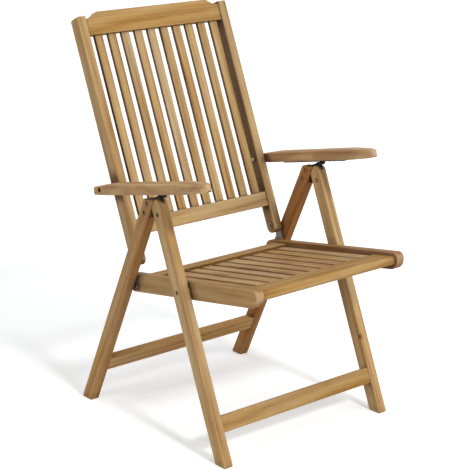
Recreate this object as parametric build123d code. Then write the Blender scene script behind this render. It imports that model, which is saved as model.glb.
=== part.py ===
from build123d import *
import math
import os

# High-back folding garden chair, in millimetres and degrees.
# The sitter faces -Y, +X is the sitter's left and +Z is up.

# Widths across the chair
seat_opening = 464.0
rail_thick = 26.0
leg_gap = 6.5
leg_thick = 26.8
stile_thick = 27.0
back_play = 0.4
arm_gap = 4.0
arm_width = 50.0

# Legs: both pairs hang from the apex pivot
apex_height = 615.5
front_lean = 22.1
rear_lean = 25.5
leg_depth = 38.2
rear_leg_offset = 49.0
apex_clearance = 0.7
front_leg_top = 40.0
front_leg_nose = 16.0
front_leg_peak = 5.0
rear_leg_rise = 35.5
rear_top_slope = 5.5
leg_corner = 3.5
leg_ease = 2.0

# Stretchers, measured up each leg's centre line from the floor
stretcher_thick = 20.0
stretcher_setback = 2.0
front_stretcher_up = 82.8
front_stretcher_height = 43.5
rear_stretcher_up = 117.0
rear_stretcher_height = 44.5

# Seat: its frame starts at the pivot on the front legs
seat_pivot_drop = 205.8
seat_rake = 9.2
rail_height = 50.0
rail_taper = 2.0
rail_front = 276.0
rail_rear = 256.0
rail_nose_upper = 15.5
rail_nose_lower = 29.5
rail_heel = 22.0
front_rail_edge = 269.0
front_rail_depth = 77.0
front_rail_thick = 24.0
front_rail_top = 15.0
front_rail_nose = 9.0
rear_rail_start = 160.0
rear_rail_depth = 53.0
rear_rail_thick = 24.0
rear_rail_top = 19.5
seat_slats = 10
seat_slat_width = 32.0
seat_slat_thick = 12.0
seat_slat_top = 13.0

# Back: its frame starts at the pivot above the seat's rear end
back_pivot_back = 224.0
back_pivot_rise = 68.3
back_lean = 22.3
stile_depth = 36.5
stile_top = 664.5
stile_foot = 22.0
horn_outer = 7.0
horn_inner = 3.0
horn_front = 4.0
horn_rear = 14.0
back_rail_thick = 24.0
back_rail_setback = 3.0
lower_rail_up = 57.8
lower_rail_height = 41.7
horn_height = 7.5
top_rail_height = 46.5
crest_rise = 16.0
crest_half = 187.0
ogee_length = 41.0
ogee_hollow = 0.8
back_slats = 10
back_slat_width = 26.5
back_slat_thick = 10.5
back_slat_setback = 6.5

# Arms: their frame starts at the pivot on the back stiles
arm_pivot_up = 197.0
arm_rise = 11.7
arm_thick = 29.0
arm_back = 32.0
arm_reach = 443.0
arm_nose = 62.0
arm_tail = 9.0
arm_fall = 6.0
arm_lift = 2.5
arm_crown_rear = 42.0
arm_crown_front = 350.0
arm_crown_radius = 400.0
arm_end_round = 8.0
arm_ease = 6.0

# Notched racks under the arms
rack_width = 18.0
rack_thick = 3.0
rack_start = 86.0
rack_end = 336.0
notch_count = 5
notch_pitch = 18.5
notch_depth = 2.0
notch_radius = 5.4
rack_screw_inset = 14.0

# Steel plates that join the legs and carry the catch rods
plate_thick = 4.0
plate_play = 0.3
plate_hub = 12.0
plate_boss = 10.0
plate_bolt_upper = 1.0
plate_bolt_lower = 30.6
plate_swing = 47.0
catch_radius = 5.0
catch_reach = 231.0
catch_clearance = 0.4
catch_inset = 0.8

# Hinge straps and the studs that they hook on
strap_thick = 3.0
strap_width = 25.0
strap_foot = 18.0
strap_heel = 16.0
strap_shoulder = 14.0
stud_back = 236.0
stud_radius = 4.0
stud_play = 0.4
stud_depth = 14.0
hook_flare = 11.0

# Fastenings and joinery
bolt_radius = 3.0
fit = 0.05
end_play = 0.3
head_radius = 5.5
head_thick = 4.0
flat_head = 2.2
wide_head = 10.0
washer_thick = 2.0
socket_radius = 2.6
socket_depth = 1.6
bore_radius = 6.5
bore_depth = 7.0
arm_bore_depth = 18.0
nut_radius = 5.8
nut_thick = 4.0
spacer_radius = 11.0
screw_radius = 2.0
screw_head = 4.0
screw_sink = 2.0
screw_length = 16.0
strap_screw_spread = 20.0
tenon_length = 16.0
tenon_margin = 7.0
slat_tenon = 10.0
joint_play = 0.1
ease = 2.0

# Planes across the chair that follow from the widths
rail_inner = seat_opening / 2
rail_outer = rail_inner + rail_thick
leg_inner = rail_outer + leg_gap
leg_outer = leg_inner + leg_thick
leg_middle = (leg_inner + leg_outer) / 2
stile_outer = rail_outer - back_play
stile_inner = stile_outer - stile_thick
arm_inner = stile_outer + arm_gap
arm_outer = arm_inner + arm_width
half_leg = leg_depth / 2
half_stile = stile_depth / 2
half_arm = arm_thick / 2


def leaning(point, lean):
    """Frame at a point: X across, Y to the rear, Z up and leaning back by an angle."""
    turn = math.radians(lean)
    return Plane(origin=point, x_dir=(1, 0, 0), z_dir=(0, math.sin(turn), math.cos(turn)))


# Frames of the moving groups, from one pivot to the next
apex = Vector(0, 0, apex_height)
front_frame = leaning(apex, front_lean)
rear_frame = leaning(apex, -rear_lean)
seat_pivot = front_frame.from_local_coords((0, 0, -seat_pivot_drop))
seat_frame = leaning(seat_pivot, seat_rake)
back_pivot = seat_frame.from_local_coords((0, back_pivot_back, back_pivot_rise))
back_frame = leaning(back_pivot, back_lean)
arm_pivot = back_frame.from_local_coords((0, 0, arm_pivot_up))
arm_frame = leaning(arm_pivot, arm_rise)
catch_drop = half_arm + rack_thick + catch_clearance + catch_radius
catch = rear_frame.to_local_coords(arm_frame.from_local_coords((0, -catch_reach, -catch_drop)))
stud = rear_frame.to_local_coords(seat_frame.from_local_coords((0, stud_back, 0)))


# Shape helpers, all in a group's own frame
def block(x, y, z):
    """Box between pairs of limits."""
    size = [high - low for low, high in (x, y, z)]
    middle = [(high + low) / 2 for low, high in (x, y, z)]
    return Pos(*middle) * Box(*size)


def rod(radius, x_from, x_to, rear=0.0, up=0.0):
    """Round bar across the chair."""
    bar = Cylinder(radius, x_to - x_from, align=(Align.CENTER, Align.CENTER, Align.MIN))
    return Pos(x_from, rear, up) * Rot(0, 90, 0) * bar


def side_slab(face, x_from, x_to):
    """Board whose outline is drawn in the side view, as (rear, up)."""
    return extrude(Pos(x_from, 0, 0) * Plane.YZ.location * face, amount=x_to - x_from, dir=(1, 0, 0))


def front_slab(face, y_from, y_to):
    """Board whose outline is drawn in the front view, as (across, up)."""
    return extrude(Pos(0, y_from, 0) * Plane.XZ.location * face, amount=y_to - y_from, dir=(0, 1, 0))


def outline(corners):
    """Face with straight sides and a radius at each corner: (first, second, radius)."""
    points = [(first, second) for first, second, _ in corners]
    line = FilletPolyline(*points, radius=[radius for _, _, radius in corners], close=True)
    return make_face(line.edges())


def eased(solid, axis, radius=ease):
    """Board with the arrises along one axis taken off."""
    return fillet(solid.edges().filter_by(axis), radius)


def other_side(solid):
    return mirror(solid, about=Plane.YZ)


def both_sides(solids):
    return solids + [other_side(solid) for solid in solids]


def mortise(x, y, z):
    """Hole for a tenon: the tenon's own box with the joint's play round it."""
    return block(*[(low - joint_play, high + joint_play) for low, high in (x, y, z)])


def bolt(head_x, tip_x, thick=head_thick, radius=head_radius, rear=0.0, up=0.0):
    """Socket-head bolt across the chair with its head on the outer side."""
    head = rod(radius, head_x, head_x + thick, rear, up)
    head = fillet(head.edges().sort_by(Axis.X)[-1], 1.0)
    socket = RegularPolygon(socket_radius, 6)
    socket = side_slab(Pos(rear, up) * socket, head_x + thick - socket_depth, head_x + thick)
    return head + rod(bolt_radius, tip_x, head_x, rear, up) - socket


def nut(x_from, rear=0.0, up=0.0):
    """Hexagon nut on a bolt's inner end."""
    body = side_slab(Pos(rear, up) * RegularPolygon(nut_radius, 6), x_from, x_from + nut_thick)
    return body - rod(bolt_radius + fit, x_from, x_from + nut_thick, rear, up)


def bolt_hole(x_from, x_to, rear=0.0, up=0.0):
    return rod(bolt_radius + fit, x_from, x_to, rear, up)


def foot(rear, lean):
    """Height on a leg's frame at which a line along the leg meets the floor."""
    turn = math.radians(lean)
    return (rear * math.sin(turn) - apex_height) / math.cos(turn)


# Front legs: a kerf in the head takes the steel plate, and the top is cut back to clear the rear leg
legs_angle = math.radians(front_lean + rear_lean)
reach_to_rear_leg = rear_leg_offset - half_leg - apex_clearance
front_peak = (reach_to_rear_leg - math.sin(legs_angle) * front_leg_top) / math.cos(legs_angle)
front_shoulder = (reach_to_rear_leg - math.cos(legs_angle) * half_leg) / math.sin(legs_angle)
front_stretcher_low = foot(0, front_lean) + front_stretcher_up
front_stretcher_high = front_stretcher_low + front_stretcher_height
front_stretcher_y = (stretcher_setback - half_leg, stretcher_setback - half_leg + stretcher_thick)


def tenon_box(x, y, z):
    """Tenon at the left end of a board: its length, then its section inside the board's."""
    return (x, (y[0] + tenon_margin, y[1] - tenon_margin), (z[0] + tenon_margin, z[1] - tenon_margin))


front_tenon = tenon_box(
    (leg_inner, leg_inner + tenon_length), front_stretcher_y, (front_stretcher_low, front_stretcher_high)
)


plate_bolts_up = (-plate_bolt_upper, -plate_bolt_lower)


def plate_rounds(turn):
    """Middles and radii round the apex pivot, the plate bolts and the catch rod, turned by an angle."""
    corners = [(Vector(rear_leg_offset, up), plate_boss) for up in plate_bolts_up]
    corners += [(Vector(catch.Y, catch.Z), catch_radius - catch_inset)]
    corners = [(corner.rotate(Axis.Z, turn), radius) for corner, radius in corners]
    return [(Vector(), plate_hub)] + corners


def hull(rounds, margin):
    """Outline stretched round circles."""
    circles = [Pos(middle.X, middle.Y) * Circle(radius + margin) for middle, radius in rounds]
    return make_hull([circle.edges() for circle in circles])


def kerf_face():
    """Room in the front leg for the plate, from the open chair to the folded one."""
    open_turn = front_lean + rear_lean
    return hull(plate_rounds(open_turn) + plate_rounds(open_turn - plate_swing)[1:], plate_play)


def front_leg():
    side = outline([
        (-half_leg, foot(-half_leg, front_lean), leg_corner),
        (half_leg, foot(half_leg, front_lean), leg_corner),
        (half_leg, front_shoulder, leg_corner),
        (front_peak, front_leg_top, front_leg_peak),
        (-half_leg, front_leg_top, front_leg_nose),
    ])
    leg = side_slab(side, leg_inner, leg_outer)
    leg = fillet(leg.edges().filter_by(Axis.Z), leg_ease)
    half_kerf = plate_thick / 2 + plate_play
    leg -= side_slab(kerf_face(), leg_middle - half_kerf, leg_middle + half_kerf)
    for up in (0, -seat_pivot_drop):
        leg -= bolt_hole(leg_inner, leg_outer, up=up)
        leg -= rod(bore_radius, leg_outer - bore_depth, leg_outer, up=up)
    leg -= rod(bore_radius, leg_inner, leg_inner + bore_depth)
    return leg - mortise(*front_tenon)


def stretcher(y, z, tenon):
    bar = eased(block((-leg_inner, leg_inner), y, z), Axis.X)
    peg = block(*tenon)
    return bar + peg + other_side(peg)


# Rear legs: a kerf in the front face holds the steel plate
rear_front = rear_leg_offset - half_leg
rear_back = rear_leg_offset + half_leg
rear_turn = math.radians(rear_lean)
rear_top_front = (rear_leg_rise - rear_front * math.sin(rear_turn)) / math.cos(rear_turn)
rear_top_back = rear_top_front - leg_depth * math.tan(math.radians(rear_lean + rear_top_slope))
rear_stretcher_low = foot(rear_leg_offset, -rear_lean) + rear_stretcher_up
rear_stretcher_high = rear_stretcher_low + rear_stretcher_height
rear_stretcher_y = (rear_front + stretcher_setback, rear_front + stretcher_setback + stretcher_thick)
rear_tenon = tenon_box(
    (leg_inner, leg_inner + tenon_length), rear_stretcher_y, (rear_stretcher_low, rear_stretcher_high)
)


def plate_slab(margin, half_thick):
    return side_slab(hull(plate_rounds(0), margin), leg_middle - half_thick, leg_middle + half_thick)


def rear_leg():
    side = outline([
        (rear_front, foot(rear_front, -rear_lean), leg_corner),
        (rear_back, foot(rear_back, -rear_lean), leg_corner),
        (rear_back, rear_top_back, leg_corner),
        (rear_front, rear_top_front, leg_corner),
    ])
    leg = side_slab(side, leg_inner, leg_outer)
    leg = fillet(leg.edges().filter_by(Axis.Z), leg_ease)
    leg -= plate_slab(plate_play, plate_thick / 2 + plate_play)
    for up in plate_bolts_up:
        leg -= bolt_hole(leg_inner, leg_outer, rear_leg_offset, up)
        leg -= rod(bore_radius, leg_outer - bore_depth, leg_outer, rear_leg_offset, up)
        leg -= rod(bore_radius, leg_inner, leg_inner + bore_depth, rear_leg_offset, up)
    leg -= rod(stud_radius + fit, leg_inner, leg_inner + stud_depth, stud.Y, stud.Z)
    return leg - mortise(*rear_tenon)


def apex_plate():
    plate = plate_slab(0, plate_thick / 2)
    plate -= bolt_hole(leg_inner, leg_outer)
    for up in plate_bolts_up:
        plate -= bolt_hole(leg_inner, leg_outer, rear_leg_offset, up)
    return plate + rod(catch_radius, leg_inner + catch_inset, leg_outer - catch_inset, catch.Y, catch.Z)


def flush_bolt(rear, up):
    """Bolt and nut sunk in the two faces of a leg."""
    screw = bolt(leg_outer - bore_depth, leg_inner + end_play, rear=rear, up=up)
    return [screw, nut(leg_inner + bore_depth - nut_thick, rear, up)]


# Seat: two rounded side rails, a nosed front rail, a rear rail and long slats
front_rail_y = (-front_rail_edge, -front_rail_edge + front_rail_depth)
front_rail_z = (front_rail_top - front_rail_thick, front_rail_top)
rear_rail_y = (rear_rail_start, rear_rail_start + rear_rail_depth)
rear_rail_z = (rear_rail_top - rear_rail_thick, rear_rail_top)
seat_tenon_x = (rail_inner, rail_inner + tenon_length)
seat_tenons = [
    tenon_box(seat_tenon_x, (front_rail_y[0] + front_rail_nose, front_rail_y[1]), front_rail_z),
    tenon_box(seat_tenon_x, rear_rail_y, rear_rail_z),
]
strap_screws_up = (strap_screw_spread / 2, -strap_screw_spread / 2)
strap_front = back_pivot_back - strap_width / 2
strap_screw_back = strap_front + screw_head + ease


def seat_rail():
    half = rail_height / 2
    side = outline([
        (-rail_front, half - rail_taper, rail_nose_upper),
        (-rail_front, -half + rail_taper, rail_nose_lower),
        (rail_rear, -half, rail_heel),
        (rail_rear, half, rail_heel),
    ])
    rail = side_slab(side, rail_inner, rail_outer)
    rail = fillet(rail.faces().filter_by(Axis.X).edges(), ease)
    rail -= bolt_hole(rail_inner, rail_outer)
    rail -= rod(bore_radius, rail_inner, rail_inner + bore_depth)
    for up in strap_screws_up:
        rail -= rod(screw_radius + fit, rail_outer - screw_length, rail_outer, strap_screw_back, up)
    for tenon in seat_tenons:
        rail -= mortise(*tenon)
    return rail


def slat_positions(count, width, opening):
    """Middles of equal slats with equal gaps across an opening."""
    gap = (opening - count * width) / (count + 1)
    return [-opening / 2 + gap + width / 2 + index * (gap + width) for index in range(count)]


seat_slat_x = slat_positions(seat_slats, seat_slat_width, seat_opening)
seat_slat_z = (seat_slat_top - seat_slat_thick, seat_slat_top)
seat_slat_y = (front_rail_y[1], rear_rail_y[0])
seat_slat_tenon_y = (seat_slat_y[0] - slat_tenon, seat_slat_y[1] + slat_tenon)


def slat_tenon_box(middle, width, thick_limits, long_limits):
    """Stub through a slat, narrower than the slat by the easing of its arrises."""
    half = width / 2 - ease
    return ((middle - half, middle + half), long_limits, (thick_limits[0] + ease, thick_limits[1] - ease))


def seat_slat(middle):
    half = seat_slat_width / 2
    slat = eased(block((middle - half, middle + half), seat_slat_y, seat_slat_z), Axis.Y)
    return slat + block(*slat_tenon_box(middle, seat_slat_width, seat_slat_z, seat_slat_tenon_y))


def seat_cross_rail(y, z, tenon, front_edge):
    rail = block((-rail_inner, rail_inner), y, z)
    arrises = rail.edges().filter_by(Axis.X).group_by(Axis.Y)
    rail = fillet(arrises[0], front_edge)
    rail = fillet(rail.edges().filter_by(Axis.X).group_by(Axis.Y)[-1], ease)
    rail += block(*tenon) + other_side(block(*tenon))
    for middle in seat_slat_x:
        rail -= mortise(*slat_tenon_box(middle, seat_slat_width, seat_slat_z, seat_slat_tenon_y))
    return rail


def seat_strap():
    """Steel plate on the rail: a hinge eye above and a hook over the rear leg's stud below."""
    hook = stud_radius + stud_play
    heel = stud_back + strap_heel
    rear = strap_front + strap_width
    face = outline([
        (strap_front, -strap_foot, ease),
        (heel, -strap_foot, strap_heel / 3),
        (heel, strap_shoulder, strap_heel / 3),
        (rear, strap_shoulder + strap_heel / 2, strap_heel / 2),
        (rear, back_pivot_rise + strap_width / 2, strap_width / 2 - fit),
        (strap_front, back_pivot_rise + strap_width / 2, strap_width / 2 - fit),
    ])
    mouth = Polygon(
        (stud_back - hook, 0),
        (stud_back - hook - hook_flare, -strap_foot),
        (stud_back + hook, -strap_foot),
        (stud_back + hook, 0),
    )
    across = (rail_outer, rail_outer + strap_thick)
    strap = side_slab(face, *across) - side_slab(mouth, *across) - rod(hook, *across, stud_back)
    strap -= bolt_hole(*across, back_pivot_back, back_pivot_rise)
    for up in strap_screws_up:
        strap -= rod(screw_radius + fit, *across, strap_screw_back, up)
        strap -= screw_cone(rail_outer + strap_thick, strap_screw_back, up)
    return strap


def screw_cone(surface_x, rear, up):
    """Countersunk head whose flat face lies in a surface facing outward."""
    cone = Cone(screw_radius, screw_head, screw_sink, align=(Align.CENTER, Align.CENTER, Align.MAX))
    return Pos(surface_x, rear, up) * Rot(0, 90, 0) * cone


def strap_screw(up):
    surface = rail_outer + strap_thick
    shank = rod(screw_radius, surface - screw_length, surface - screw_sink, strap_screw_back, up)
    return shank + screw_cone(surface, strap_screw_back, up)


def seat_spacer():
    """Washer on the seat pivot that holds the rail clear of the leg."""
    ring = rod(spacer_radius, rail_outer, leg_inner - end_play)
    return ring - bolt_hole(rail_outer, leg_inner)


# Back: stiles with rounded feet and horns, two rails and upright slats
back_rail_y = (back_rail_setback - half_stile, back_rail_setback - half_stile + back_rail_thick)
lower_rail_z = (lower_rail_up, lower_rail_up + lower_rail_height)
top_rail_end = stile_top - horn_height
top_rail_up = top_rail_end - top_rail_height
crest_top = top_rail_end + crest_rise
top_rail_z = (top_rail_up, top_rail_end)
back_tenon_x = (stile_inner, stile_inner + tenon_length)
back_tenons = [tenon_box(back_tenon_x, back_rail_y, z) for z in (lower_rail_z, top_rail_z)]
back_slat_x = slat_positions(back_slats, back_slat_width, 2 * stile_inner)
back_slat_y = (back_slat_setback - half_stile, back_slat_setback - half_stile + back_slat_thick)
back_slat_z = (lower_rail_z[1], top_rail_z[0])
back_slat_tenon_z = (back_slat_z[0] - slat_tenon, back_slat_z[1] + slat_tenon)


def back_stile():
    foot_round = half_stile - fit
    side = outline([
        (-half_stile, -stile_foot, foot_round),
        (half_stile, -stile_foot, foot_round),
        (half_stile, stile_top, 0),
        (-half_stile, stile_top, 0),
    ])
    horn_side = outline([
        (-half_stile, -stile_foot, 0),
        (half_stile, -stile_foot, 0),
        (half_stile, stile_top, horn_rear),
        (-half_stile, stile_top, horn_front),
    ])
    horn = outline([
        (stile_inner, -stile_foot, 0),
        (stile_outer, -stile_foot, 0),
        (stile_outer, stile_top, horn_outer),
        (stile_inner, stile_top, horn_inner),
    ])
    stile = eased(side_slab(side, stile_inner, stile_outer), Axis.Z)
    stile &= side_slab(horn_side, stile_inner, stile_outer)
    stile &= front_slab(horn, -half_stile, half_stile)
    stile -= bolt_hole(stile_inner, stile_outer)
    stile -= bolt_hole(stile_inner, stile_outer, up=arm_pivot_up)
    for tenon in back_tenons:
        stile -= mortise(*tenon)
    return stile


def crest_face():
    """Top rail in front view: level ends, a long hollow at each side and a raised middle."""
    ledge = crest_half + ogee_length
    turn = (ledge - ogee_hollow * ogee_length, top_rail_end + ogee_hollow * crest_rise)
    rise = TangentArc((ledge, top_rail_end), turn, tangent=(-1, 0))
    crown = TangentArc((crest_half, crest_top), turn, tangent=(1, 0))
    right = [
        Line((0, top_rail_up), (stile_inner, top_rail_up)),
        Line((stile_inner, top_rail_up), (stile_inner, top_rail_end)),
        Line((stile_inner, top_rail_end), (ledge, top_rail_end)),
        rise,
        crown,
        Line((crest_half, crest_top), (0, crest_top)),
    ]
    left = [mirror(edge, about=Plane.YZ) for edge in right]
    return make_face(right + left)


def back_cross_rail(rail, tenon):
    rail += block(*tenon) + other_side(block(*tenon))
    for middle in back_slat_x:
        x, z, y = slat_tenon_box(middle, back_slat_width, back_slat_y, back_slat_tenon_z)
        rail -= mortise(x, y, z)
    return rail


def back_top_rail():
    rail = front_slab(crest_face(), *back_rail_y)
    upper = [edge for edge in rail.faces().filter_by(Axis.Y).edges() if edge.center().Z > top_rail_up + ease]
    upper = [edge for edge in upper if abs(edge.center().X) < stile_inner - ease]
    return back_cross_rail(fillet(upper, ease), back_tenons[1])


def back_lower_rail():
    rail = eased(block((-stile_inner, stile_inner), back_rail_y, lower_rail_z), Axis.X)
    return back_cross_rail(rail, back_tenons[0])


def back_slat(middle):
    half = back_slat_width / 2
    slat = eased(block((middle - half, middle + half), back_slat_y, back_slat_z), Axis.Z)
    x, z, y = slat_tenon_box(middle, back_slat_width, back_slat_y, back_slat_tenon_z)
    return slat + block(x, y, z)


# Arms: flat boards with a rounded nose, a deep bolt bore and a notched rack underneath
arm_middle = (arm_inner + arm_outer) / 2
rack_screws_back = (-rack_start - rack_screw_inset, -rack_end + rack_screw_inset)


def arrises(board):
    """Edges round an arm's upper and lower faces."""
    return board.edges().filter_by(Axis.X, reverse=True).filter_by(Axis.Z, reverse=True)


def arm():
    nose_start = arm_nose - arm_reach
    nose = EllipticalCenterArc((arm_middle, nose_start), arm_width / 2, arm_nose, 180, arc_size=180)
    sides = FilletPolyline(
        (arm_outer, nose_start),
        (arm_outer, arm_back),
        (arm_inner, arm_back),
        (arm_inner, nose_start),
        radius=arm_tail,
    )
    plan = make_face(nose.edges() + sides.edges())
    board = extrude(Pos(0, 0, -half_arm) * plan, amount=arm_thick, dir=(0, 0, 1))
    board = fillet(board.faces().sort_by(Axis.Z)[0].edges(), ease)
    side = outline([
        (-arm_crown_front, -half_arm, arm_crown_radius),
        (-arm_crown_rear, -half_arm, arm_crown_radius),
        (arm_back, -half_arm + arm_lift, arm_end_round),
        (arm_back, half_arm - arm_fall, arm_end_round),
        (-arm_crown_rear, half_arm, arm_crown_radius),
        (-arm_crown_front, half_arm, arm_crown_radius),
        (-arm_reach, half_arm - arm_fall, arm_end_round),
        (-arm_reach, -half_arm + arm_lift, arm_end_round),
    ])
    board &= side_slab(side, arm_inner, arm_outer)
    board = fillet([edge for edge in arrises(board) if edge.center().Z > 0], arm_ease)
    board -= bolt_hole(arm_inner, arm_outer)
    board -= rod(bore_radius, arm_outer - arm_bore_depth, arm_outer)
    for rear in rack_screws_back:
        board -= upright(screw_radius + fit, screw_length, rear)
    return board


def upright(radius, length, rear):
    """Round bar up into an arm from the face that the rack lies on."""
    bar = Cylinder(radius, length, align=(Align.CENTER, Align.CENTER, Align.MIN))
    return Pos(leg_middle, rear, -half_arm) * bar


def rack_screw_head(rear):
    cone = Cone(screw_head, screw_radius, screw_sink, align=(Align.CENTER, Align.CENTER, Align.MIN))
    return Pos(leg_middle, rear, -half_arm - rack_thick) * cone


def arm_rack():
    """Steel strip with half-round notches that drop on the catch rod."""
    lower = -half_arm - rack_thick
    across = (leg_middle - rack_width / 2, leg_middle + rack_width / 2)
    rack = block(across, (-rack_end, -rack_start), (lower, -half_arm))
    for index in range(notch_count):
        rear = -catch_reach - index * notch_pitch
        rack -= rod(notch_radius, *across, rear, lower + notch_depth - notch_radius)
    for rear in rack_screws_back:
        rack -= Pos(0, 0, -rack_thick) * upright(screw_radius + fit, rack_thick, rear)
        rack -= rack_screw_head(rear)
    return rack


def rack_screw(rear):
    drop = rack_thick - screw_sink
    shank = Pos(0, 0, -drop) * upright(screw_radius, screw_length, rear)
    return shank + rack_screw_head(rear)


def arm_washer():
    return rod(spacer_radius, stile_outer + end_play, arm_inner) - bolt_hole(stile_outer, arm_inner)


def arm_bolt():
    """Bolt in the bottom of the arm's bore, with its nut on the stile's inner face."""
    head = arm_outer - arm_bore_depth + end_play
    tip = stile_inner - end_play - nut_thick
    return [bolt(head, tip), nut(tip)]


def back_bolt():
    """Bolt with a wide low head through a strap and a stile, with a washer under its nut."""
    washer_x = (stile_inner - end_play - washer_thick, stile_inner - end_play)
    washer = rod(spacer_radius, *washer_x) - bolt_hole(*washer_x)
    tip = washer_x[0] - nut_thick
    return [bolt(rail_outer + strap_thick + end_play, tip, flat_head, wide_head), nut(tip), washer]


def seat_bolt():
    """Bolt sunk in a front leg, with its nut sunk in the seat rail."""
    tip = rail_inner + bore_depth - end_play - nut_thick
    return [bolt(leg_outer - bore_depth, tip, up=-seat_pivot_drop), nut(tip, up=-seat_pivot_drop)]


# Every node in the chair's frame, before the origin is set under its middle
nodes = {}


def add(name, frame, solids):
    placed = [frame.location * solid for solid in solids]
    nodes[name] = placed[0] if len(placed) == 1 else Compound(placed)


def add_pair(name, frame, solids):
    """A left piece and its mirror image on the right."""
    add(name + "_left", frame, solids)
    add(name + "_right", frame, [other_side(solid) for solid in solids])


add_pair("front_leg", front_frame, [front_leg()])
add("front_stretcher", front_frame, [
    stretcher(front_stretcher_y, (front_stretcher_low, front_stretcher_high), front_tenon)
])
add("apex_pivot_bolts", front_frame, both_sides(flush_bolt(0, 0)))
add("seat_pivot_bolts", front_frame, both_sides(seat_bolt()))

add_pair("rear_leg", rear_frame, [rear_leg()])
add("rear_stretcher", rear_frame, [
    stretcher(rear_stretcher_y, (rear_stretcher_low, rear_stretcher_high), rear_tenon)
])
add_pair("apex_plate", rear_frame, [apex_plate()])
plate_bolts = [piece for up in plate_bolts_up for piece in flush_bolt(rear_leg_offset, up)]
add("plate_bolts", rear_frame, both_sides(plate_bolts))
stud_end = rail_outer + end_play
add("seat_studs", rear_frame, both_sides([
    rod(stud_radius, stud_end, leg_inner + stud_depth, stud.Y, stud.Z)
]))

add_pair("seat_rail", seat_frame, [seat_rail()])
add("seat_front_rail", seat_frame, [
    seat_cross_rail(front_rail_y, front_rail_z, seat_tenons[0], front_rail_nose)
])
add("seat_rear_rail", seat_frame, [seat_cross_rail(rear_rail_y, rear_rail_z, seat_tenons[1], ease)])
for index, middle in enumerate(seat_slat_x):
    add(f"seat_slat_{index + 1:02d}", seat_frame, [seat_slat(middle)])
add_pair("hinge_strap", seat_frame, [seat_strap()])
add("strap_screws", seat_frame, both_sides([strap_screw(up) for up in strap_screws_up]))
add("seat_spacers", seat_frame, both_sides([seat_spacer()]))

add("back_pivot_bolts", back_frame, both_sides(back_bolt()))
add_pair("back_stile", back_frame, [back_stile()])
add("back_top_rail", back_frame, [back_top_rail()])
add("back_lower_rail", back_frame, [back_lower_rail()])
for index, middle in enumerate(back_slat_x):
    add(f"back_slat_{index + 1:02d}", back_frame, [back_slat(middle)])

add_pair("arm_bolt", arm_frame, arm_bolt())
add_pair("arm", arm_frame, [arm()])
add_pair("arm_rack", arm_frame, [arm_rack()])
add_pair("rack_screws", arm_frame, [rack_screw(rear) for rear in rack_screws_back])
add_pair("arm_washer", arm_frame, [arm_washer()])

# The origin is on the floor under the middle of the chair's box
box = Compound(list(nodes.values())).bounding_box()
origin_shift = Pos(0, -(box.min.Y + box.max.Y) / 2, 0)

os.makedirs("parts", exist_ok=True)
for name, shape in nodes.items():
    export_step(origin_shift * shape, f"parts/{name}.step")
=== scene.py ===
"""Teak folding chair: oiled boards, black catch plates, zinc hinge straps, on a white studio floor."""
import math

import bpy
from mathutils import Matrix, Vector

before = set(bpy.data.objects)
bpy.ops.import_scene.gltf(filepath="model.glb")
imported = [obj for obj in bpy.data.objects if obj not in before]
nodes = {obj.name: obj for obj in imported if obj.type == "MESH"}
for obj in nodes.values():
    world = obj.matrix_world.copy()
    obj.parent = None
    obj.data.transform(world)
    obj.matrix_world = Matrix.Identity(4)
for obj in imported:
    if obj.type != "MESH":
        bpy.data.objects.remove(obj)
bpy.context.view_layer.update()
scene = bpy.context.scene

# Lean of each group of boards, in degrees
front_leg_lean = 22.1
rear_leg_lean = -25.5
seat_rake = 9.2
back_lean = 22.3
arm_rise = 11.7

# Knot in the left front leg's inner face: place and radius in metres, and its core's share of that
knot_centre = (0.2645, -0.222, 0.205)
knot_radius = 0.011
knot_core = 0.3
knot_tint = (0.50, 0.30, 0.24, 1)

# Teak grain: how often each pattern repeats in a metre, twice across a board and then along it
bend_repeat = (7, 7, 1.3)
fibre_repeat = (330, 330, 7)
streak_repeat = (95, 95, 2.4)
patch_repeat = (10, 10, 1.7)
pore_repeat = (1150, 1150, 38)
heart_repeat = (26, 26, 5.5)

# Teak grain: stretch and scale of the growth rings, sway of the grain in metres, and the furthest that
# boards lie apart in the log
ring_stretch = (1, 0.8, 0.035)
ring_scale = 24.0
bend_sway = 0.022
board_shift = (13.7, -9.1, 5.3)

# Teak grain: how much of each layer shows
ring_share = 0.12
fibre_share = 0.34
streak_share = 0.26
patch_share = 0.28
pore_share = 0.45
end_grain_share = 0.55
rub_share = 0.35
# Painted shade: how strongly the wood is darkened deep in narrow gaps
painted_shade_share = 0.85

# Teak grain: span of each pattern over which its mask goes from 0 to 1
pore_span = (0.6, 0.7)
heart_span = (0.43, 0.61)
end_grain_span = (0.72, 0.93)
patch_span = (0.35, 0.65)
fibre_span = (0.3, 0.7)

# Teak colours, from dark late wood to pale early wood, and what tints them
grain_colours = [
    (0.35, (0.28, 0.158, 0.062)),
    (0.455, (0.43, 0.274, 0.114)),
    (0.565, (0.493, 0.337, 0.149)),
    (0.69, (0.565, 0.413, 0.202)),
]
pore_tint = (0.42, 0.29, 0.18, 1)
heart_tint = (0.70, 0.50, 0.37, 1)
red_tint = (0.84, 0.54, 0.46, 1)
# Colour of the painted shade deep in narrow gaps
painted_shade_tint = (0.26, 0.19, 0.14, 1)
end_grain_colour = (0.60, 0.45, 0.27, 1)
rubbed_colour = (0.70, 0.50, 0.28, 1)
patch_fade = (-0.07, 0.07)

# Teak surface: roughness, relief, gloss and worn edges, with depth and width in metres
teak_roughness = (0.56, 0.70)
end_grain_roughness = 0.15
fibre_relief = 0.5
pore_relief = 0.6
teak_relief_depth = 0.0003
teak_relief_strength = 0.08
teak_gloss = 0.15
teak_edge_width = 0.0022

# Worn edges, where rounded and plain normals differ, and painted shade in narrow gaps, by how much sky
# they see
edge_span = (0.995, 0.86)
rub_repeat = (70, 70, 22)
rub_span = (0.35, 0.65)
painted_shade_span = (0.95, 0.74)
painted_shade_reach_plain = 0.03
painted_shade_reach_back = 0.045

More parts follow.
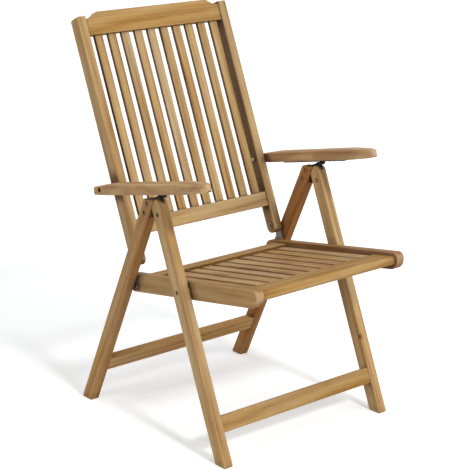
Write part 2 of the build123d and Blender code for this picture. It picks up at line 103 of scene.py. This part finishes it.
# Steel surface: mottling, scuffs, relief, gloss and worn edges, with depth and width in metres
mottle_repeat = (180, 180, 180)
scuff_repeat = (900, 120, 120)
mottle_tint = (0.55, 0.55, 0.55, 1)
mottle_span = (0.35, 0.7)
mottle_share = (0.0, 0.5)
scuff_span = (0.62, 0.72)
scuff_share = 0.2
bare_share = 0.6
dull_span = (0.3, 0.7)
dull_change = (-0.08, 0.10)
steel_relief_depth = 0.00015
steel_relief_strength = 0.2
steel_gloss = 0.5
steel_edge_width = 0.0012

# Studio
floor_half = 9.0
paper_shade = (0.93, 0.945, 0.96, 1)
paper_bounce = (0.52, 0.52, 0.52, 1)
paper_glow = 0.35
world_fill = 0.06
lamp_distance = 4
warm_white = (1.0, 0.99, 0.97)
plain_white = (1, 1, 1)


# Node trees
def shader_group(name, inputs, outputs):
    """Empty shader group with (name, kind, default) inputs and (name, kind) outputs."""
    tree = bpy.data.node_groups.new(name, "ShaderNodeTree")
    for label, kind, default in inputs:
        made = tree.interface.new_socket(label, in_out="INPUT", socket_type=kind)
        if default is not None:
            made.default_value = default
    for label, kind in outputs:
        tree.interface.new_socket(label, in_out="OUTPUT", socket_type=kind)
    return tree, tree.nodes.new("NodeGroupInput"), tree.nodes.new("NodeGroupOutput")


def put(tree, kind, settings=None, **inputs):
    """Node whose inputs, by name or as _0, _1 and so on, are plain values or other nodes' outputs."""
    node = tree.nodes.new(kind)
    for key, value in (settings or {}).items():
        setattr(node, key, value)
    for key, value in inputs.items():
        key = int(key[1:]) if key[0] == "_" else key.replace("_", " ")
        if isinstance(value, bpy.types.NodeSocket):
            tree.links.new(value, node.inputs[key])
        else:
            node.inputs[key].default_value = value
    return node


def place_group(tree, group, **inputs):
    return put(tree, "ShaderNodeGroup", {"node_tree": group}, **inputs)


def maths(tree, operation, first, second=0.0, clamp=False):
    settings = {"operation": operation, "use_clamp": clamp}
    return put(tree, "ShaderNodeMath", settings, _0=first, _1=second).outputs[0]


def vectors(tree, operation, first, **others):
    return put(tree, "ShaderNodeVectorMath", {"operation": operation}, _0=first, **others)


def blend_colour(tree, way, amount, first, second):
    settings = {"data_type": "RGBA", "blend_type": way}
    return put(tree, "ShaderNodeMix", settings, _0=amount, _6=first, _7=second).outputs[2]


def stretch(tree, vector, scale):
    return put(tree, "ShaderNodeMapping", Vector=vector, Scale=scale).outputs[0]


def noise(tree, vector, repeat, detail=3.0, roughness=0.55, output="Fac"):
    return put(tree, "ShaderNodeTexNoise", Vector=stretch(tree, vector, repeat), Scale=1.0,
               Detail=detail, Roughness=roughness).outputs[output]


def spread(tree, value, span, onto=(0.0, 1.0)):
    """Value that goes from the first to the second end of onto as the given one crosses the span."""
    return put(tree, "ShaderNodeMapRange", _0=value, _1=span[0], _2=span[1], _3=onto[0],
               _4=onto[1]).outputs[0]


def ramp(tree, value, stops):
    """Colour that runs through (place, colour) stops."""
    node = put(tree, "ShaderNodeValToRGB", Fac=value)
    elements = node.color_ramp.elements
    while len(elements) < len(stops):
        elements.new(0.5)
    for element, (place, colour) in zip(elements, stops):
        element.position = place
        element.color = (*colour, 1)
    return node.outputs[0]


# Effects that several finishes share
def worn_edges():
    """Mask that is 1 on outer arrises, broken up so that the rubbing is uneven."""
    tree, taken, given = shader_group(
        "worn_edges",
        [("Width", "NodeSocketFloat", 0.002), ("Vector", "NodeSocketVector", None)],
        [("Mask", "NodeSocketFloat")],
    )
    rounded = put(tree, "ShaderNodeBevel", {"samples": 4}, Radius=taken.outputs["Width"]).outputs[0]
    plain = put(tree, "ShaderNodeNewGeometry").outputs["Normal"]
    agree = vectors(tree, "DOT_PRODUCT", rounded, _1=plain).outputs["Value"]
    edge = spread(tree, agree, edge_span)
    uneven = spread(tree, noise(tree, taken.outputs["Vector"], rub_repeat), rub_span)
    tree.links.new(maths(tree, "MULTIPLY", edge, uneven, True), given.inputs["Mask"])
    return tree


def painted_recess_shade():
    """Mask that is 1 deep in the gaps between boards, where painted shade darkens the wood."""
    tree, taken, given = shader_group(
        "painted_recess_shade",
        [("Reach", "NodeSocketFloat", painted_shade_reach_plain)],
        [("Mask", "NodeSocketFloat")],
    )
    open_sky = put(tree, "ShaderNodeAmbientOcclusion", {"samples": 8}, Distance=taken.outputs["Reach"])
    tree.links.new(spread(tree, open_sky.outputs["AO"], painted_shade_span), given.inputs["Mask"])
    return tree


def teak_figure():
    """Grain, pores, end grain and the board's own tone, for a board whose length is Z."""
    tree, taken, given = shader_group(
        "teak_figure",
        [
            ("Vector", "NodeSocketVector", None),
            ("Facing", "NodeSocketVector", None),
            ("Board", "NodeSocketFloat", 0.5),
            ("Tone", "NodeSocketFloat", 1.0),
            ("Redness", "NodeSocketFloat", 0.0),
            ("Paleness", "NodeSocketFloat", 0.0),
            ("Heartwood", "NodeSocketFloat", 0.3),
            ("Wear", "NodeSocketFloat", 0.0),
            ("Recess", "NodeSocketFloat", 0.0),
        ],
        [("Color", "NodeSocketColor"), ("Roughness", "NodeSocketFloat"), ("Height", "NodeSocketFloat")],
    )
    own = taken.outputs

    # Each board is cut from its own place in the log, and the grain sways a little
    away = vectors(tree, "SCALE", board_shift, Scale=own["Board"]).outputs[0]
    place = vectors(tree, "ADD", own["Vector"], _1=away).outputs[0]
    bend = noise(tree, place, bend_repeat, detail=1.0, roughness=0.5, output="Color")
    sway = vectors(tree, "SCALE", bend, Scale=bend_sway).outputs[0]
    grown = vectors(tree, "ADD", place, _1=sway).outputs[0]

    # Growth rings, fibres, streaks and patches make up the figure
    rings = put(tree, "ShaderNodeTexWave", {"wave_type": "BANDS", "bands_direction": "DIAGONAL"},
                Vector=stretch(tree, grown, ring_stretch), Scale=ring_scale, Distortion=2.2, Detail=2.0,
                Detail_Scale=1.6).outputs["Fac"]
    fibres = noise(tree, grown, fibre_repeat, detail=4.0, roughness=0.65)
    streaks = noise(tree, grown, streak_repeat, roughness=0.5)
    patches = noise(tree, place, patch_repeat, detail=2.0)
    figure = maths(tree, "MULTIPLY", rings, ring_share)
    for layer, share in ((fibres, fibre_share), (streaks, streak_share), (patches, patch_share)):
        figure = maths(tree, "ADD", figure, maths(tree, "MULTIPLY", layer, share))
    wood = ramp(tree, figure, grain_colours)

    # Dark pores and heartwood, pale end grain and rubbed arrises
    pores = spread(tree, noise(tree, place, pore_repeat, detail=2.0), pore_span)
    wood = blend_colour(tree, "MULTIPLY", maths(tree, "MULTIPLY", pores, pore_share), wood, pore_tint)
    heart = spread(tree, noise(tree, grown, heart_repeat, roughness=0.6), heart_span)
    heart = maths(tree, "MULTIPLY", heart, own["Heartwood"])
    wood = blend_colour(tree, "MULTIPLY", heart, wood, heart_tint)
    along = put(tree, "ShaderNodeSeparateXYZ", Vector=own["Facing"]).outputs["Z"]
    butt = spread(tree, maths(tree, "ABSOLUTE", along), end_grain_span)
    paled = maths(tree, "MULTIPLY", butt, end_grain_share)
    wood = blend_colour(tree, "MIX", paled, wood, end_grain_colour)
    rubbed = maths(tree, "MULTIPLY", own["Wear"], rub_share)
    wood = blend_colour(tree, "MIX", rubbed, wood, rubbed_colour)

    # The board's own tone, and painted shade in the gaps
    wood = blend_colour(tree, "MULTIPLY", own["Redness"], wood, red_tint)
    faded = maths(tree, "ADD", own["Paleness"], spread(tree, patches, patch_span, patch_fade))
    toned = put(tree, "ShaderNodeHueSaturation", Saturation=maths(tree, "SUBTRACT", 1.0, faded),
                Value=own["Tone"], Color=wood).outputs[0]
    painted_shade = maths(tree, "MULTIPLY", own["Recess"], painted_shade_share)
    toned = blend_colour(tree, "MULTIPLY", painted_shade, toned, painted_shade_tint)

    dull = spread(tree, fibres, fibre_span, teak_roughness)
    dull = maths(tree, "ADD", dull, maths(tree, "MULTIPLY", butt, end_grain_roughness))
    sunk = maths(tree, "MULTIPLY", pores, pore_relief)
    raised = maths(tree, "SUBTRACT", maths(tree, "MULTIPLY", fibres, fibre_relief), sunk)
    tree.links.new(toned, given.inputs["Color"])
    tree.links.new(dull, given.inputs["Roughness"])
    tree.links.new(raised, given.inputs["Height"])
    return tree


def steel_skin():
    """Even metal skin with faint mottling, scuffs and brighter rubbed edges."""
    tree, taken, given = shader_group(
        "steel_skin",
        [
            ("Vector", "NodeSocketVector", None),
            ("Skin", "NodeSocketColor", (0.1, 0.1, 0.1, 1)),
            ("Bare", "NodeSocketColor", (0.4, 0.4, 0.4, 1)),
            ("Wear", "NodeSocketFloat", 0.0),
            ("Dullness", "NodeSocketFloat", 0.45),
        ],
        [("Color", "NodeSocketColor"), ("Roughness", "NodeSocketFloat"), ("Height", "NodeSocketFloat")],
    )
    own = taken.outputs
    mottle = noise(tree, own["Vector"], mottle_repeat, detail=4.0, roughness=0.6)
    scuff = spread(tree, noise(tree, own["Vector"], scuff_repeat, detail=2.0), scuff_span)
    stained = spread(tree, mottle, mottle_span, mottle_share)
    colour = blend_colour(tree, "MULTIPLY", stained, own["Skin"], mottle_tint)
    bare = maths(tree, "ADD", own["Wear"], maths(tree, "MULTIPLY", scuff, scuff_share), True)
    colour = blend_colour(tree, "MIX", maths(tree, "MULTIPLY", bare, bare_share), colour, own["Bare"])
    dull = maths(tree, "ADD", own["Dullness"], spread(tree, mottle, dull_span, dull_change))
    tree.links.new(colour, given.inputs["Color"])
    tree.links.new(dull, given.inputs["Roughness"])
    tree.links.new(mottle, given.inputs["Height"])
    return tree


edge_group = worn_edges()
painted_shade_group = painted_recess_shade()
teak_group = teak_figure()
steel_group = steel_skin()


# Finishes
def new_material(name):
    material = bpy.data.materials.new(name)
    material.use_nodes = True
    return material, material.node_tree, material.node_tree.nodes["Principled BSDF"]


def board_value(tree, name):
    settings = {"attribute_type": "OBJECT", "attribute_name": name}
    return put(tree, "ShaderNodeAttribute", settings).outputs["Fac"]


def surface(tree, shader, colour, made, depth, strength):
    """Join a group's colour, roughness and relief to the material's shader."""
    tree.links.new(colour, shader.inputs["Base Color"])
    tree.links.new(made.outputs["Roughness"], shader.inputs["Roughness"])
    bump = put(tree, "ShaderNodeBump", Strength=strength, Distance=depth, Height=made.outputs["Height"])
    tree.links.new(bump.outputs[0], shader.inputs["Normal"])


def knotted(tree, where, colour):
    apart = vectors(tree, "DISTANCE", where, _1=knot_centre).outputs["Value"]
    inside = spread(tree, apart, (knot_radius, knot_core * knot_radius))
    return blend_colour(tree, "MULTIPLY", inside, colour, knot_tint)


def teak(name, turn, painted_shade_amount=1.0, painted_shade_reach=painted_shade_reach_plain, has_knot=False):
    """Teak for boards whose length turns into Z by the given angles about X, Y and Z."""
    material, tree, shader = new_material(name)
    where = put(tree, "ShaderNodeTexCoord")
    turn = tuple(math.radians(angle) for angle in turn)
    board = put(tree, "ShaderNodeMapping", Vector=where.outputs["Object"], Rotation=turn).outputs[0]
    facing = put(tree, "ShaderNodeMapping", {"vector_type": "VECTOR"}, Vector=where.outputs["Normal"],
                 Rotation=turn).outputs[0]
    wear = place_group(tree, edge_group, Vector=board, Width=teak_edge_width).outputs[0]
    # Painted shade deep in narrow gaps, by how little sky each point sees
    painted_shade = place_group(tree, painted_shade_group, Reach=painted_shade_reach).outputs[0]
    made = place_group(
        tree, teak_group, Vector=board, Facing=facing, Wear=wear,
        Recess=maths(tree, "MULTIPLY", painted_shade, painted_shade_amount),
        Board=board_value(tree, "board"),
        Tone=board_value(tree, "tone"),
        Redness=board_value(tree, "redness"),
        Paleness=board_value(tree, "paleness"),
        Heartwood=board_value(tree, "heartwood"),
    )
    colour = made.outputs["Color"]
    if has_knot:
        colour = knotted(tree, where.outputs["Object"], colour)
    surface(tree, shader, colour, made, teak_relief_depth, teak_relief_strength)
    shader.inputs["Specular IOR Level"].default_value = teak_gloss
    return material


def steel(name, skin, bare, dullness, metallic, gloss=steel_gloss):
    material, tree, shader = new_material(name)
    where = put(tree, "ShaderNodeTexCoord").outputs["Object"]
    wear = place_group(tree, edge_group, Vector=where, Width=steel_edge_width).outputs[0]
    made = place_group(tree, steel_group, Vector=where, Skin=(*skin, 1), Bare=(*bare, 1), Wear=wear,
                       Dullness=dullness)
    surface(tree, shader, made.outputs["Color"], made, steel_relief_depth, steel_relief_strength)
    shader.inputs["Metallic"].default_value = metallic
    shader.inputs["Specular IOR Level"].default_value = gloss
    return material


finishes = {
    # Painted shade in narrow gaps: legs take 0.3 of it, lengthwise seat boards 0.6, back uprights 1.1
    # with a longer reach, other teak all of it
    "front_leg": teak("teak_front_legs", (front_leg_lean, 0, 0), painted_shade_amount=0.3, has_knot=True),
    "rear_leg": teak("teak_rear_legs", (rear_leg_lean, 0, 0), painted_shade_amount=0.3),
    "seat_long": teak("teak_seat_lengthwise", (90 + seat_rake, 0, 0), painted_shade_amount=0.6),
    "cross": teak("teak_cross_boards", (0, -90, 0)),
    "back_upright": teak("teak_back_uprights", (back_lean, 0, 0), painted_shade_amount=1.1,
                         painted_shade_reach=painted_shade_reach_back),
    "arm": teak("teak_arms", (90 + arm_rise, 0, 0)),
    "plate": steel("black_catch_steel", skin=(0.012, 0.011, 0.010), bare=(0.09, 0.085, 0.08),
                   dullness=0.55, metallic=0.0, gloss=0.15),
    # The straps' zinc is darker than bare zinc: partly its own colour and partly painted shade, as a
    # strap lies in a leg's shade
    "strap": steel("zinc_strap_steel_painted_shade", skin=(0.17, 0.152, 0.142), bare=(0.36, 0.33, 0.31),
                   dullness=0.46, metallic=1.0),
    "pivot": steel("browned_pivot_steel", skin=(0.20, 0.145, 0.095), bare=(0.42, 0.33, 0.23),
                   dullness=0.48, metallic=0.9),
    "fastener": steel("plated_fastener_steel", skin=(0.36, 0.27, 0.18), bare=(0.56, 0.46, 0.34),
                      dullness=0.42, metallic=0.9),
}

# Steel pieces by the start of their names; all other steel pieces are plated fasteners
steel_pieces = {
    "arm_rack": "plate",
    "apex_plate": "plate",
    "back_pivot": "pivot",
    "hinge_strap": "strap",
}

# Boards by the start of their names: finish, brightness, redness, paleness, share of dark heartwood
boards = {
    "front_leg_left": ("front_leg", 1.10, 0.04, 0.09, 0.35),
    "front_leg_right": ("front_leg", 1.13, 0.04, 0.0, 0.40),
    "front_stretcher": ("cross", 0.89, 0.06, -0.09, 0.20),
    "rear_leg_left": ("rear_leg", 0.92, 0.64, 0.0, 0.45),
    "rear_leg_right": ("rear_leg", 1.03, 0.34, 0.0, 0.60),
    # The rear stretcher's brightness is partly its own tone and partly painted light that lifts it out
    # of the shade under the seat
    "rear_stretcher": ("cross", 1.28, 0.20, 0.0, 0.30),
    "seat_rail_left": ("seat_long", 0.86, 0.40, 0.0, 0.50),
    "seat_rail_right": ("seat_long", 0.99, 0.14, 0.0, 0.50),
    "seat_slat": ("seat_long", 1.11, 0.10, 0.05, 0.70),
    "seat_front_rail": ("cross", 0.98, 0.12, -0.09, 0.50),
    "seat_rear_rail": ("cross", 0.95, 0.10, 0.0, 0.40),
    "back_stile": ("back_upright", 1.0, 0.04, 0.0, 0.30),
    "back_slat": ("back_upright", 1.02, 0.0, 0.03, 0.30),
    "back_top_rail": ("cross", 0.90, 0.06, -0.13, 0.15),
    "back_lower_rail": ("cross", 1.05, 0.0, 0.0, 0.15),
    "arm_left": ("arm", 1.15, 0.06, 0.08, 0.60),
    "arm_right": ("arm", 1.15, 0.04, 0.10, 0.80),
}

# How far boards of one kind differ from each other
tone_least = 0.93
tone_range = 0.14
redness_range = 0.10
paleness_range = 0.08
heartwood_least = 0.6
heartwood_range = 0.8


def row_of(table, name):
    """Row of the first piece in a table that the name starts with, if any."""
    return next((row for start, row in table.items() if name.startswith(start)), None)


def draw(index, step, start, reach):
    """Value from 0 to 1 that changes from board to board and is the same in each run."""
    return math.sin(index * step + start) * reach % 1


def age_board(piece, index, tone, redness, paleness, heartwood):
    """Give a board its own place in the log and its own tone."""
    place_draw = draw(index, 12.9898, 4.1, 43758.5453)
    tone_draw = draw(index, 78.233, 1.7, 24634.6345)
    age_draw = draw(index, 37.719, 2.9, 31415.9265)
    piece["board"] = place_draw
    piece["tone"] = tone * (tone_least + tone_range * tone_draw)
    piece["redness"] = redness + redness_range * place_draw
    piece["paleness"] = paleness + paleness_range * (age_draw - 0.5)
    piece["heartwood"] = heartwood * (heartwood_least + heartwood_range * age_draw)


for index, name in enumerate(sorted(nodes)):
    piece = nodes[name]
    finish = row_of(steel_pieces, name)
    board = row_of(boards, name)
    if finish is None and board is not None:
        finish = board[0]
        age_board(piece, index, *board[1:])
    piece.data.materials.clear()
    piece.data.materials.append(finishes[finish or "fastener"])


# White studio
def seen_rays(tree):
    """1 for what the camera, metal or glass sees, and 0 for light that reaches other surfaces."""
    rays = put(tree, "ShaderNodeLightPath")
    seen = maths(tree, "MAXIMUM", rays.outputs["Is Camera Ray"], rays.outputs["Is Glossy Ray"])
    return maths(tree, "MAXIMUM", seen, rays.outputs["Is Transmission Ray"])


def white_floor():
    floor_mesh = bpy.data.meshes.new("studio_floor")
    corners = [(-floor_half, -floor_half, 0), (floor_half, -floor_half, 0), (floor_half, floor_half, 0),
               (-floor_half, floor_half, 0)]
    floor_mesh.from_pydata(corners, [], [(0, 1, 2, 3)])
    floor = bpy.data.objects.new("studio_floor", floor_mesh)
    scene.collection.objects.link(floor)
    material, tree, shader = new_material("white_paper")
    tree.nodes.remove(shader)
    shade = put(tree, "ShaderNodeBsdfDiffuse", Color=paper_shade).outputs[0]
    glow = put(tree, "ShaderNodeEmission", Color=(*plain_white, 1), Strength=paper_glow).outputs[0]
    shown = put(tree, "ShaderNodeAddShader", _0=shade, _1=glow).outputs[0]
    bounce = put(tree, "ShaderNodeBsdfDiffuse", Color=paper_bounce).outputs[0]
    whole = put(tree, "ShaderNodeMixShader", _0=seen_rays(tree), _1=bounce, _2=shown).outputs[0]
    tree.links.new(whole, tree.nodes["Material Output"].inputs["Surface"])
    floor_mesh.materials.append(material)


def white_world():
    """White where it is seen, and a weak fill light on the chair."""
    world = bpy.data.worlds.new("white_studio")
    scene.world = world
    world.use_nodes = True
    tree = world.node_tree
    level = put(tree, "ShaderNodeMix", {"data_type": "FLOAT"}, _0=seen_rays(tree), _2=world_fill, _3=1.0)
    ground = tree.nodes["Background"]
    ground.inputs["Color"].default_value = (*plain_white, 1)
    tree.links.new(level.outputs[0], ground.inputs["Strength"])


def soft_sun(name, azimuth, elevation, width, level, colour=plain_white):
    """Even light from far off; azimuth 0 is the chair's front and 90 its left."""
    lamp = bpy.data.lights.new(name, "SUN")
    lamp.angle = math.radians(width)
    lamp.energy = level * math.pi
    lamp.color = colour
    stand = bpy.data.objects.new(name, lamp)
    scene.collection.objects.link(stand)
    turn = math.radians(azimuth)
    rise = math.radians(elevation)
    source = Vector((math.sin(turn) * math.cos(rise), -math.cos(turn) * math.cos(rise), math.sin(rise)))
    stand.location = lamp_distance * source
    stand.rotation_euler = (-source).to_track_quat("-Z", "Y").to_euler()


white_floor()
white_world()
soft_sun("front_light", azimuth=-5, elevation=41, width=8, level=0.465, colour=warm_white)
soft_sun("low_front_light", azimuth=24, elevation=17, width=44, level=0.42, colour=warm_white)
soft_sun("top_light", azimuth=0, elevation=84, width=50, level=0.20)
soft_sun("side_light", azimuth=-90, elevation=14, width=30, level=0.41)
soft_sun("far_side_light", azimuth=90, elevation=12, width=40, level=0.12)
soft_sun("back_light", azimuth=180, elevation=12, width=40, level=0.34)


# Camera: from the chair's front right corner, a little above
def photo_camera():
    azimuth = math.radians(38.777)
    elevation = math.radians(16.062)
    distance = 4.1968
    aim = Vector((0, 0.1384, 0.5))
    out = Vector((-math.sin(azimuth) * math.cos(elevation), -math.cos(azimuth) * math.cos(elevation),
                  math.sin(elevation)))
    across = Vector((math.cos(azimuth), -math.sin(azimuth), 0))
    upward = across.cross(-out)

    # Pixels of the picture: focal length, where the aim lands, and half the picture's width
    focal_px = 1505.54
    aim_px = (203.97, 223.69)
    half_px = 235.0
    look = -out * focal_px + across * (half_px - aim_px[0]) - upward * (half_px - aim_px[1])
    lens = bpy.data.cameras.new("photo_camera")
    lens.sensor_width = 36.0
    lens.lens = focal_px / (2 * half_px) * lens.sensor_width
    camera = bpy.data.objects.new("photo_camera", lens)
    scene.collection.objects.link(camera)
    camera.location = aim + distance * out
    camera.rotation_euler = look.to_track_quat("-Z", "Y").to_euler()
    scene.camera = camera


photo_camera()
scene.view_settings.view_transform = "Standard"
